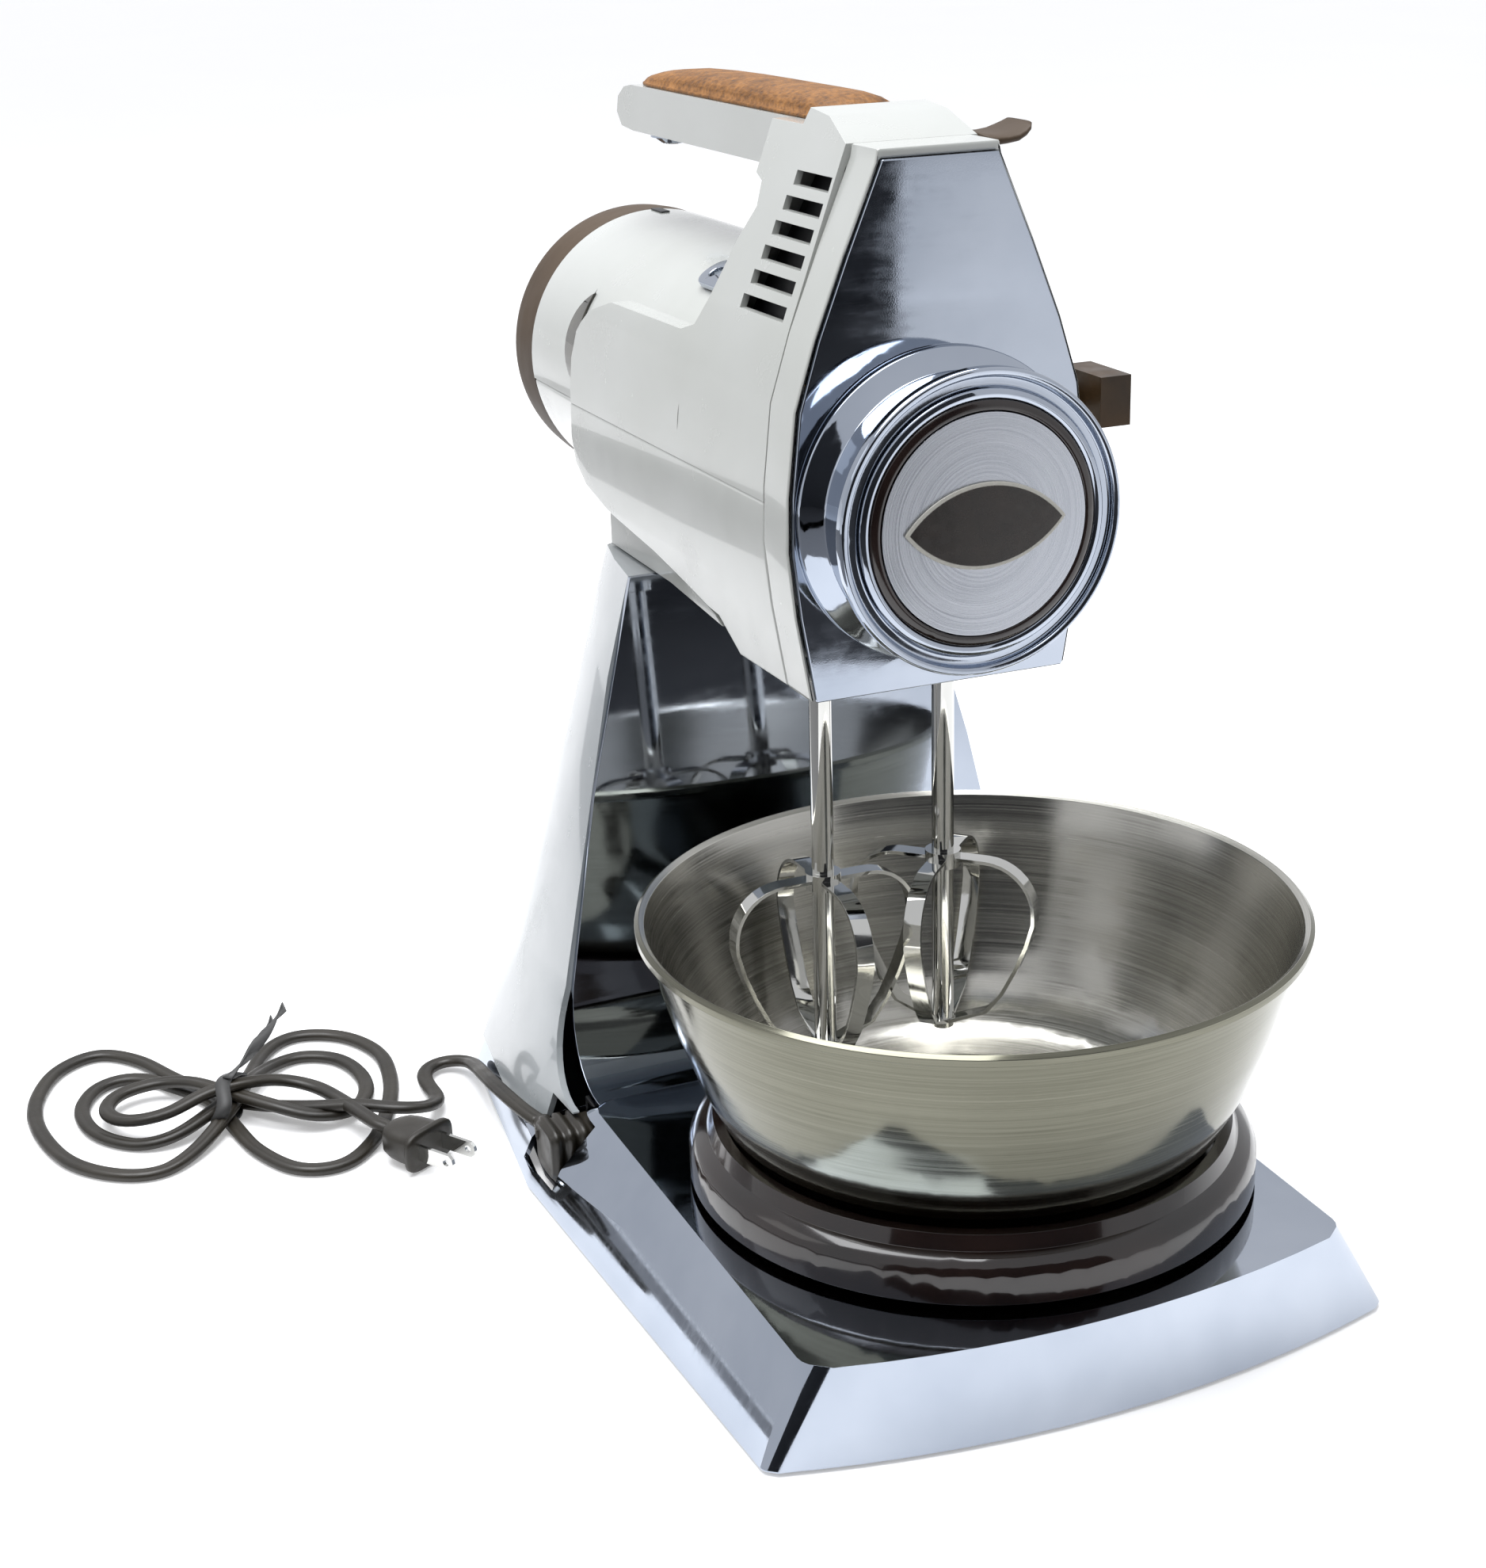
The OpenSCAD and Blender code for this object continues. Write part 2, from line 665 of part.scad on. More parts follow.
// Thumb lever beside the ridge: pressing it pushes the beaters out
module ejector_lever() {
  color("sienna") translate([27.2, -62, 383]) cube([19.4, 26, 5]);
  color("gray") {
    translate([12, -53, 316.1]) cube([2.4, 12, 71.9]);
    translate([14.4, -53, 384]) cube([12.8, 12, 4]);
  }
}

module ejector_bar() {
  color("gray") {
    translate([-32, -53, 313]) cube([64, 19, 3]);
    for (side = [-1, 1]) translate([side * beater_x, beater_y, 250.4]) cylinder(h = 63, r = 1.8, $fn = 24);
  }
}

module tilt_lever() {
  color("gray") along_x(45, 63.5, shaft_r, -56, 296);
  color("sienna") translate([63.5, -76, 288.5]) cube([11.5, 27, 17]);
}

// Chrome lug on the barrel behind the neck, with a hole through it
module barrel_lug() {
  color("silver") translate([0, 0, motor_z]) rotate([0, -29, 0])
    translate([0, 0, barrel_r + 0.2]) difference() {
    union() {
      translate([-7, 9, 0]) cube([14, 28, 2.6]);
      translate([0, 37, 0]) cylinder(h = 2.6, r = 7);
    }
    translate([0, 36, -1]) cylinder(h = 5, r = 2.8);
  }
}

// ---------- cord ----------

module cord_connector() {
  color("black") {
    difference() {
      union() {
        translate([-119, -0.8, 8.8]) cube([36.6, 19.6, 18.8]);
        for (x = [-118, -112, -106]) translate([x, -2.2, 7.4]) cube([3, 22.4, 21.6]);
      }
      for (y = [5.5, 12.5]) along_x(-98, -80, 1.7, y, 18.2);
    }
    translate([-114, 18, 20.5]) rotate([-90, 0, 0]) cylinder(h = 9, r1 = 5.5, r2 = 3.4);
  }
}

module cord_lead() { color("black") tube_along(lead_route, cord_r); }

module cord_hank() {
  color("black") hull() {
    translate([-243, 154, 0.3]) cylinder(h = 20, r = 47, $fn = 32);
    translate([-250, 122, 0.3]) cylinder(h = 20, r = 39, $fn = 32);
    translate([-184, 141, 0.3]) cylinder(h = 20, r = 41, $fn = 32);
    translate([-196, 97, 0.3]) cylinder(h = 20, r = 42, $fn = 32);
  }
}

module cord_tie() {
  color("dimgray") {
    translate([-216, 125, 20.5]) rotate([0, 0, 42]) translate([-3, -24, 0]) cube([6, 48, 2.4]);
    translate([-216, 125, 22.9]) rotate([0, 0, -42]) translate([-1, 0, 0]) cube([2.4, 55, 1.6]);
  }
}

module cord_tail() { color("black") tube_along(tail_route, cord_r); }

module cord_plug() {
  translate([-163, 65, 8.5]) rotate([0, 0, -58]) {
    color("black") {
      translate([0, -11, -7.5]) cube([17, 22, 15]);
      translate([17, -13, -8.2]) cube([3, 26, 16.4]);
    }
    color("silver") for (y = [-6.35, 6.35]) difference() {
      translate([20, y - 0.75, -3.2]) cube([17, 1.5, 6.4]);
      translate([33.5, y + 5, 0]) rotate([90, 0, 0]) cylinder(h = 10, r = 1.5, $fn = 24);
    }
  }
}

base_pan();
base_plate();
rubber_feet();
base_screws();
turntable_bush();
column_shell();
column_front();
hinge_bracket();
hinge_pin();
column_screws();
power_inlet();
inlet_pins();
stand_wire();
turntable();
turntable_spindle();
mixing_bowl();
saddle();
upper_housing();
lower_housing();
front_frame();
front_mask();
bezel_ring();
bezel_trim();
badge_disc();
badge_emblem();
handle_grip();
handle_stud();
vent_screens();
intake_windows();
index_mark();
housing_screws();
gear_frame();
spindle_bushes();
motor_stator();
motor_brackets();
motor_bearings();
brush_holders();
carbon_brushes();
head_wire();
motor_shaft();
rotor_core();
commutator();
cooling_fan();
speed_dial();
worm_gear_left();
worm_gear_right();
beater_spindle_left();
beater_spindle_right();
beater_left();
beater_right();
ejector_lever();
ejector_bar();
tilt_lever();
barrel_lug();
cord_connector();
cord_lead();
cord_hank();
cord_tie();
cord_tail();
cord_plug();
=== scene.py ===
"""Looks for a vintage stand mixer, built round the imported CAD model."""
import json
import math

import bpy
from mathutils import Matrix, Vector


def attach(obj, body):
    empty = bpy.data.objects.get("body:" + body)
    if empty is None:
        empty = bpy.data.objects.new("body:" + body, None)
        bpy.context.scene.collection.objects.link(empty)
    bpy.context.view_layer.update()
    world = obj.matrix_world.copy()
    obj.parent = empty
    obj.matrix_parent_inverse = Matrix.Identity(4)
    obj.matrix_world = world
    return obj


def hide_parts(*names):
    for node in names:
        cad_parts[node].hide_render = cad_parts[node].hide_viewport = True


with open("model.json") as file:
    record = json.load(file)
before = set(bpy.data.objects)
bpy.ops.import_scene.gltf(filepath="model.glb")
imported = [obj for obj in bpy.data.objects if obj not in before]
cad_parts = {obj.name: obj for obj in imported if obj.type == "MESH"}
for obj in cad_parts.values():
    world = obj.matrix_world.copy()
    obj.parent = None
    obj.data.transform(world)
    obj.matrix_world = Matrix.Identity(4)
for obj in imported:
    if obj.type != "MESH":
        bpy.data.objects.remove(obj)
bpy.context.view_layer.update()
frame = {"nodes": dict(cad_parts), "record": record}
NODES = frame["nodes"]
MM = 0.001


# ---------- camera ----------

CAMERA_AT = (-0.3643, -0.8031, 0.4744)
CAMERA_TURN_DIP_ROLL = (-22.1, 20.3, -1.7)
CAMERA_LENS = 58.24


def add_camera():
    """The camera, at the angle and lens of a snapshot from the front left."""
    turn, dip, roll = (math.radians(v) for v in CAMERA_TURN_DIP_ROLL)
    forward = Vector((-math.sin(turn) * math.cos(dip), math.cos(turn) * math.cos(dip), -math.sin(dip)))
    side = Vector((math.cos(turn), math.sin(turn), 0))
    up = side.cross(forward)
    right = math.cos(roll) * side + math.sin(roll) * up
    above = -math.sin(roll) * side + math.cos(roll) * up
    data = bpy.data.cameras.new("camera")
    data.lens = CAMERA_LENS
    data.sensor_width = 36
    data.clip_start = 0.01
    data.clip_end = 60
    camera = bpy.data.objects.new("camera", data)
    turned = Matrix((right, above, -forward)).transposed().to_4x4()
    camera.matrix_world = Matrix.Translation(CAMERA_AT) @ turned
    bpy.context.scene.collection.objects.link(camera)
    bpy.context.scene.camera = camera


add_camera()


# ---------- materials ----------

class Nodes:
    """A node tree with short calls for the few nodes that these materials use."""

    def __init__(self, name):
        self.material = bpy.data.materials.new(name)
        self.material.use_nodes = True
        self.tree = self.material.node_tree
        self.shader = self.tree.nodes["Principled BSDF"]
        self.place = self.add("ShaderNodeTexCoord").outputs["Object"]

    def add(self, kind, **inputs):
        node = self.tree.nodes.new(kind)
        for key, value in inputs.items():
            node.inputs[key.replace("_", " ")].default_value = value
        return node

    def link(self, a, b):
        self.tree.links.new(a, b)

    def stretched(self, x, y, z, source=None):
        """The object's own coordinates, multiplied along each axis."""
        node = self.add("ShaderNodeVectorMath")
        node.operation = "MULTIPLY"
        self.link(source or self.place, node.inputs[0])
        node.inputs[1].default_value = (x, y, z)
        return node.outputs[0]

    def noise(self, scale, detail=3.0, rough=0.5, source=None):
        node = self.add("ShaderNodeTexNoise", Scale=scale, Detail=detail, Roughness=rough)
        self.link(source or self.place, node.inputs["Vector"])
        return node.outputs["Fac"]

    def ramp(self, source, stops):
        node = self.add("ShaderNodeValToRGB")
        points = node.color_ramp.elements
        while len(points) < len(stops):
            points.new(0.5)
        for point, (at, colour) in zip(points, stops):
            point.position = at
            point.color = (*colour, 1)
        self.link(source, node.inputs["Fac"])
        return node.outputs["Color"]

    def spread(self, source, low, high, frm=0.3, to=0.7):
        node = self.add("ShaderNodeMapRange")
        for index, value in enumerate((frm, to, low, high), 1):
            node.inputs[index].default_value = value
        self.link(source, node.inputs[0])
        return node.outputs[0]

    def maths(self, operation, a, b):
        node = self.add("ShaderNodeMath")
        node.operation = operation
        for index, value in enumerate((a, b)):
            if isinstance(value, (int, float)):
                node.inputs[index].default_value = value
            else:
                self.link(value, node.inputs[index])
        return node.outputs[0]

    def bump(self, source, height, under=None):
        """Bump of that height in metres, on top of another bump where one is given."""
        node = self.add("ShaderNodeBump", Strength=1.0, Distance=height)
        self.link(source, node.inputs["Height"])
        if under is not None:
            self.link(under, node.inputs["Normal"])
        return node.outputs["Normal"]

    def rings_about(self, centre, axis):
        """Distance from an axis, for lines turned on a lathe. axis is the index of the axis."""
        node = self.add("ShaderNodeVectorMath")
        node.operation = "SUBTRACT"
        self.link(self.place, node.inputs[0])
        node.inputs[1].default_value = centre
        keep = [1.0, 1.0, 1.0]
        keep[axis] = 0.0
        flat = self.stretched(*keep, source=node.outputs[0])
        length = self.add("ShaderNodeVectorMath")
        length.operation = "LENGTH"
        self.link(flat, length.inputs[0])
        return length.outputs["Value"]

    def joined(self, x, y, z):
        node = self.add("ShaderNodeCombineXYZ")
        for index, value in enumerate((x, y, z)):
            if isinstance(value, (int, float)):
                node.inputs[index].default_value = value
            else:
                self.link(value, node.inputs[index])
        return node.outputs[0]

    def done(self, colour, rough, normal, **fixed):
        for socket, value in (("Base Color", colour), ("Roughness", rough), ("Normal", normal)):
            self.link(value, self.shader.inputs[socket])
        for key, value in fixed.items():
            self.shader.inputs[key.replace("_", " ")].default_value = value
        return self.material


def two_tone(tree, scale, dark, light, detail=4.0):
    return tree.ramp(tree.noise(scale, detail), [(0.3, dark), (0.7, light)])


def plain(name, dark, light, rough, bump_scale, bump_height, tone_scale=25.0, **fixed):
    """A moulded, cast or painted finish: blotchy tone, uneven gloss and a fine grain."""
    tree = Nodes(name)
    colour = two_tone(tree, tone_scale, dark, light)
    gloss = tree.spread(tree.noise(tone_scale * 3, 5.0), *rough)
    grain = tree.bump(tree.noise(bump_scale, 4.0), bump_height)
    return tree.done(colour, gloss, grain, **fixed)


def chrome(name, dark, light):
    """Bright plating: faint blue-grey clouds, fine wiping marks and a very slight waviness."""
    tree = Nodes(name)
    colour = two_tone(tree, 14.0, dark, light)
    haze = tree.noise(60.0, 8.0, 0.7)
    wiped = tree.noise(1.0, 6.0, 0.6, tree.stretched(40, 900, 240))
    gloss = tree.spread(tree.maths("MULTIPLY", haze, wiped), 0.015, 0.11, 0.12, 0.45)
    wave = tree.bump(tree.noise(22.0, 1.0), 0.00003)
    pits = tree.bump(tree.noise(1800.0, 2.0), 0.0000015, wave)
    return tree.done(colour, gloss, pits, Metallic=1.0)


def enamel(name, dark, light):
    """White stove enamel: warm tone that drifts, slight orange peel and small dark specks."""
    tree = Nodes(name)
    drift = two_tone(tree, 9.0, dark, light)
    specks = tree.add("ShaderNodeTexVoronoi", Scale=110.0)
    tree.link(tree.place, specks.inputs["Vector"])
    mask = tree.spread(specks.outputs["Distance"], 0.35, 0.0, 0.02, 0.05)
    rare = tree.spread(tree.noise(35.0, 2.0), 0.0, 1.0, 0.66, 0.7)
    mix = tree.add("ShaderNodeMix")
    mix.data_type = "RGBA"
    tree.link(tree.maths("MULTIPLY", mask, rare), mix.inputs["Factor"])
    tree.link(drift, mix.inputs[6])
    mix.inputs[7].default_value = (0.22, 0.2, 0.15, 1)
    gloss = tree.spread(tree.noise(40.0, 6.0, 0.65), 0.16, 0.3)
    peel = tree.bump(tree.noise(420.0, 2.0), 0.000006)
    return tree.done(mix.outputs[2], gloss, peel, Coat_Weight=0.55, Coat_Roughness=0.04, IOR=1.5)


def turned_steel(name, dark, light, centre, axis, rough, height):
    """Steel with the fine lines of turning or brushing round an axis, and a few longer scratches."""
    tree = Nodes(name)
    radius = tree.rings_about(centre, axis)
    parts = tree.add("ShaderNodeSeparateXYZ")
    tree.link(tree.place, parts.inputs[0])
    along = parts.outputs[axis]
    clouds = tree.noise(7.0, 3.0)
    place = tree.joined(tree.maths("MULTIPLY", radius, 1500.0), tree.maths("MULTIPLY", along, 1500.0),
                        tree.maths("MULTIPLY", clouds, 6.0))
    lines = tree.noise(1.0, 5.0, 0.65, place)
    colour = tree.ramp(tree.maths("ADD", tree.maths("MULTIPLY", lines, 0.7),
                                  tree.maths("MULTIPLY", clouds, 0.3)), [(0.35, dark), (0.65, light)])
    gloss = tree.spread(lines, *rough)
    grooves = tree.bump(lines, height)
    scratch = tree.bump(tree.noise(1.0, 2.0, 0.5, tree.stretched(30, 700, 500)), height * 0.3, grooves)
    return tree.done(colour, gloss, scratch, Metallic=1.0)


def bowl_steel(name):
    """Spun steel, lighter and brushed on the inside, more polished on the outside, where the colour is
    darkened as a painted reflection of the dark room.
    """
    tree = Nodes(name)
    centre = (0.0072, -0.092, 0)
    radius = tree.rings_about(centre, 2)
    parts = tree.add("ShaderNodeSeparateXYZ")
    tree.link(tree.place, parts.inputs[0])
    clouds = tree.noise(7.0, 3.0)
    place = tree.joined(tree.maths("MULTIPLY", radius, 1300.0),
                        tree.maths("MULTIPLY", parts.outputs[2], 1300.0),
                        tree.maths("MULTIPLY", clouds, 5.0))
    lines = tree.noise(1.0, 5.0, 0.65, place)
    tone = tree.maths("ADD", tree.maths("MULTIPLY", lines, 0.5), tree.maths("MULTIPLY", clouds, 0.5))
    inner = tree.ramp(tone, [(0.35, (0.42, 0.41, 0.37)), (0.65, (0.64, 0.63, 0.59))])
    # painted reflection: the outside's colour is darkened to stand for the dark surroundings it reflects
    outer = tree.ramp(tone, [(0.35, (0.11, 0.108, 0.082)), (0.65, (0.21, 0.207, 0.165))])
    offset = tree.add("ShaderNodeVectorMath")
    offset.operation = "SUBTRACT"
    tree.link(tree.place, offset.inputs[0])
    offset.inputs[1].default_value = centre
    sideways = tree.stretched(1, 1, 0, source=offset.outputs[0])
    facing = tree.add("ShaderNodeVectorMath")
    facing.operation = "DOT_PRODUCT"
    tree.link(sideways, facing.inputs[0])
    tree.link(tree.add("ShaderNodeTexCoord").outputs["Normal"], facing.inputs[1])
    outside = tree.spread(facing.outputs["Value"], 0.0, 1.0, -0.004, 0.004)
    mix = tree.add("ShaderNodeMix")
    mix.data_type = "RGBA"
    tree.link(outside, mix.inputs["Factor"])
    tree.link(inner, mix.inputs[6])
    tree.link(outer, mix.inputs[7])
    gloss = tree.maths("SUBTRACT", tree.spread(lines, 0.14, 0.28), tree.maths("MULTIPLY", outside, 0.08))
    grooves = tree.bump(lines, 0.0000012)
    scratch = tree.bump(tree.noise(1.0, 2.0, 0.5, tree.stretched(30, 700, 500)), 0.0000008, grooves)
    return tree.done(mix.outputs[2], gloss, scratch, Metallic=1.0)


def emblem(name):
    """Dark brown lens with a light raised outline, as wide as the distance from its two arcs."""
    tree = Nodes(name)
    base = two_tone(tree, 120.0, (0.008, 0.0055, 0.004), (0.016, 0.010, 0.007))
    low = tree.rings_about((0, 0, 0.250), 1)
    high = tree.rings_about((0, 0, 0.294), 1)
    furthest = tree.maths("MAXIMUM", low, high)
    rim = tree.spread(furthest, 0.0, 1.0, 0.0346, 0.0349)
    mix = tree.add("ShaderNodeMix")
    mix.data_type = "RGBA"
    tree.link(rim, mix.inputs["Factor"])
    tree.link(base, mix.inputs[6])
    mix.inputs[7].default_value = (0.42, 0.41, 0.37, 1)
    gloss = tree.spread(tree.noise(300.0, 3.0), 0.2, 0.32)
    relief = tree.bump(tree.maths("ADD", rim, tree.maths("MULTIPLY", tree.noise(900.0, 3.0), 0.02)), 0.0002)
    return tree.done(mix.outputs[2], gloss, relief, Coat_Weight=0.05)


def leather(name):
    """Copper-brown grained leather cloth, rubbed lighter on its high spots."""
    tree = Nodes(name)
    warp = tree.noise(90.0, 3.0)
    cells = tree.add("ShaderNodeTexVoronoi", Scale=520.0)
    cells.feature = "SMOOTH_F1"
    tree.link(tree.place, cells.inputs["Vector"])
    folds = tree.noise(1.0, 5.0, 0.6, tree.stretched(900, 260, 500))
    grain = tree.maths("ADD", tree.maths("MULTIPLY", cells.outputs["Distance"], 0.55),
                       tree.maths("MULTIPLY", folds, 0.75))
    rub = tree.maths("ADD", tree.maths("MULTIPLY", grain, 0.6), tree.maths("MULTIPLY", warp, 0.5))
    colour = tree.ramp(rub, [(0.3, (0.03, 0.01, 0.002)), (0.52, (0.13, 0.052, 0.009)),
                             (0.78, (0.26, 0.115, 0.03))])
    gloss = tree.spread(grain, 0.36, 0.56)
    return tree.done(colour, gloss, tree.bump(grain, 0.0006), Specular_IOR_Level=0.25)


def make_materials():
    made = {
        "chrome": chrome("chrome_plate", (0.34, 0.38, 0.45), (0.45, 0.49, 0.56)),
        "white_enamel": enamel("white_enamel", (0.385, 0.395, 0.37), (0.445, 0.455, 0.44)),
        # a darker, bluer copy of the white enamel for the column: painted shade for the shadow of the head
        # above it
        "shaded_column_enamel": enamel("shaded_column_enamel", (0.23, 0.25, 0.26), (0.30, 0.32, 0.33)),
        "brown_plastic": plain("brown_plastic", (0.006, 0.004, 0.004), (0.02, 0.011, 0.009), (0.07, 0.2),
                               900.0, 0.000004, Coat_Weight=0.4, Coat_Roughness=0.03),
        "polished_steel": bowl_steel("bowl_steel"),
        "bright_steel": chrome("bright_steel", (0.52, 0.52, 0.5), (0.64, 0.64, 0.62)),
        "base_steel": plain("base_steel", (0.03, 0.03, 0.032), (0.06, 0.06, 0.065), (0.4, 0.6),
                            300.0, 0.00003),
        "black_rubber": plain("black_rubber", (0.012, 0.012, 0.012), (0.03, 0.03, 0.029), (0.6, 0.85),
                              700.0, 0.00004),
        "bronze": plain("bronze", (0.36, 0.22, 0.08), (0.55, 0.38, 0.16), (0.25, 0.45), 600.0, 0.00001,
                        Metallic=1.0),
        "tan_plastic": plain("tan_plastic", (0.04, 0.025, 0.014), (0.065, 0.043, 0.026), (0.5, 0.62),
                             1100.0, 0.00001, tone_scale=18.0, Specular_IOR_Level=0.25),
        "black_plastic": plain("black_plastic", (0.004, 0.004, 0.005), (0.012, 0.012, 0.014), (0.35, 0.55),
                               800.0, 0.00001),
        "dark_window": plain("dark_window", (0.008, 0.007, 0.005), (0.055, 0.05, 0.034), (0.04, 0.1),
                             200.0, 0.00002, tone_scale=60.0, Coat_Weight=0.8, Coat_Roughness=0.02),
        "brushed_disc": turned_steel("brushed_disc", (0.37, 0.39, 0.43), (0.58, 0.60, 0.65),
                                     (0, 0, 0.272), 1, (0.2, 0.36), 0.0000035),
        "emblem_brown": emblem("emblem_brown"),
        "grip_leather": leather("grip_leather"),
        "cast_frame": plain("cast_frame", (0.38, 0.38, 0.39), (0.55, 0.55, 0.56), (0.4, 0.6), 500.0, 0.0001,
                            Metallic=1.0),
        "core_iron": plain("core_iron", (0.08, 0.075, 0.07), (0.2, 0.19, 0.18), (0.35, 0.55), 400.0, 0.00004,
                           Metallic=1.0),
        "copper": plain("copper", (0.42, 0.18, 0.08), (0.66, 0.32, 0.16), (0.2, 0.4), 600.0, 0.00001,
                        Metallic=1.0),
        "lever_brown": plain("lever_brown", (0.02, 0.011, 0.004), (0.055, 0.028, 0.009), (0.3, 0.45),
                             600.0, 0.00001, tone_scale=50.0, Specular_IOR_Level=0.3),
        "wire_cover": plain("wire_cover", (0.02, 0.02, 0.02), (0.05, 0.05, 0.05), (0.45, 0.6),
                            500.0, 0.00002),
        "cord_cover": plain("cord_cover", (0.009, 0.007, 0.004), (0.02, 0.016, 0.01), (0.34, 0.52),
                            700.0, 0.00003, tone_scale=40.0),
    }
    return made


MATERIALS = make_materials()
SLOT_OF = {row["node"]: row["material_slot"] for row in frame["record"]["subparts"]}

# CAD nodes whose finish differs from that of their material slot; the column's darker copy of the white
# enamel is painted shade
OWN_FINISH = {"tilt_lever": "lever_brown", "column_shell": "shaded_column_enamel"}
# Width of each node's rounded edges, where it isn't the usual one
USUAL_EDGE_MM = 0.5
EDGE_MM = {"upper_housing": 1.6, "lower_housing": 1.6, "front_frame": 1.8, "saddle": 1.5, "base_pan": 2.0,
           "column_shell": 1.5, "column_front": 0.6, "front_mask": 0.5, "bezel_ring": 0.5, "speed_dial": 0.8,
           "turntable": 0.8, "tilt_lever": 2.0, "ejector_lever": 1.2, "mixing_bowl": 0.2}
WELD_WITHIN = 0.00002
ROUNDED_FROM_DEGREES = 34


def dress_cad_nodes():
    """Gives every CAD node its material, and rounds its edges where they show."""
    for name, node in NODES.items():
        material = MATERIALS[OWN_FINISH.get(name, SLOT_OF[name])]
        if node.data.materials:
            for index in range(len(node.data.materials)):
                node.data.materials[index] = material
        else:
            node.data.materials.append(material)
        weld = node.modifiers.new("weld", "WELD")
        weld.merge_threshold = WELD_WITHIN
        bevel = node.modifiers.new("round_edges", "BEVEL")
        bevel.limit_method = "ANGLE"
        bevel.angle_limit = math.radians(ROUNDED_FROM_DEGREES)
        bevel.width = EDGE_MM.get(name, USUAL_EDGE_MM) * MM
        bevel.segments = 3
        bevel.harden_normals = False
        bevel.use_clamp_overlap = True
        shade = node.modifiers.new("shade", "WEIGHTED_NORMAL")
        shade.weight = 60
        shade.keep_sharp = False


dress_cad_nodes()


# ---------- mesh helpers ----------

def piece(name, verts, faces, slot, body, replaces=(), smooth=True):
    """A new piece from points in millimetres, riding on a body and standing for CAD nodes."""
    mesh = bpy.data.meshes.new(name)
    mesh.from_pydata([[c * MM for c in v] for v in verts], [], faces)
    mesh.validate()
    mesh.materials.append(MATERIALS[slot])
    for polygon in mesh.polygons:
        polygon.use_smooth = smooth
    made = bpy.data.objects.new(name, mesh)
    bpy.context.scene.collection.objects.link(made)
    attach(made, body)
    if replaces:
        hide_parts(*replaces)
    return made


def skin(rings, closed_ends=True):
    """Faces between rings that have the same number of points, and over both ends."""
    count = len(rings[0])
    verts = [p for ring in rings for p in ring]
    faces = []
    for r in range(len(rings) - 1):
        for k in range(count):
            a, b = r * count + k, r * count + (k + 1) % count
            faces.append((a, b, b + count, a + count))
    if closed_ends:
        faces.append(tuple(range(count - 1, -1, -1)))
        last = (len(rings) - 1) * count
        faces.append(tuple(last + k for k in range(count)))
    return verts, faces


def smooth_path(points, step):
    """A smooth curve through points, sampled about every step, then relaxed a little."""
    points = [Vector(p) for p in points]
    ends = [2 * points[0] - points[1], *points, 2 * points[-1] - points[-2]]
    path = []
    for i in range(1, len(ends) - 2):
        p0, p1, p2, p3 = ends[i - 1:i + 3]
        count = max(2, round((p2 - p1).length / step))
        for k in range(count):
            t = k / count
            path.append(0.5 * ((2 * p1) + (p2 - p0) * t + (2 * p0 - 5 * p1 + 4 * p2 - p3) * t * t
                               + (3 * p1 - p0 - 3 * p2 + p3) * t ** 3))
    path.append(points[-1])
    for _ in range(3):
        path = [path[0]] + [(path[i - 1] + 2 * path[i] + path[i + 1]) / 4
                            for i in range(1, len(path) - 1)] + [path[-1]]
    return path


def swept(path, section, up=Vector((0, 0, 1))):
    """A section of (side, up) points carried along a path. The section may be a function of the place."""
    rings = []
    for i, at in enumerate(path):
        ahead = (path[min(i + 1, len(path) - 1)] - path[max(i - 1, 0)]).normalized()
        side = ahead.cross(up).normalized()
        above = side.cross(ahead)
        points = section(i / (len(path) - 1)) if callable(section) else section
        rings.append([at + side * s + above * u for s, u in points])
    return rings


# ---------- handle grip and thumb lever ----------

def build_grip():
    """Crowned grip of leather cloth with a rounded front, a thin tail and a stitched edge roll."""
    rings = []
    heights = [(-30, 0.5), (-29.6, 1.6), (-28.6, 3.0), (-26.5, 4.7), (-23, 6.1), (-18, 7.1),
               (-10, 7.7), (5, 7.8),
               (25, 7.8), (50, 7.8), (75, 7.7), (100, 7.3), (118, 6.7), (132, 5.6), (141, 4.2), (145.4, 2.6),
               (147, 1.0)]
    for y, high in heights:
        near = min(1.0, (y + 30.4) / 9.0)
        far = min(1.0, (147.6 - y) / 12.0)
        wide = 15.4 * math.sqrt(max(0.02, 1 - (1 - near) ** 2)) * math.sqrt(max(0.06, 1 - (1 - far) ** 2))
        roll = min(1.1, high * 0.4)
        half = [(1.0, 0.0), (1.01, roll * 0.5), (1.0, roll), (0.965, roll * 1.25), (0.955, roll * 1.15),
                (0.93, high * 0.42), (0.86, high * 0.62), (0.74, high * 0.79), (0.56, high * 0.91),
                (0.3, high * 0.985), (0.0, high)]
        right = [(wide * u, y, 389.3 + v) for u, v in half]
        left = [(-x, yy, z) for x, yy, z in right[-2::-1]]
        rings.append(right + left)
    verts, faces = skin(rings)
    piece("grip_cover", verts, faces, "grip_leather", "head", ("handle_grip",))


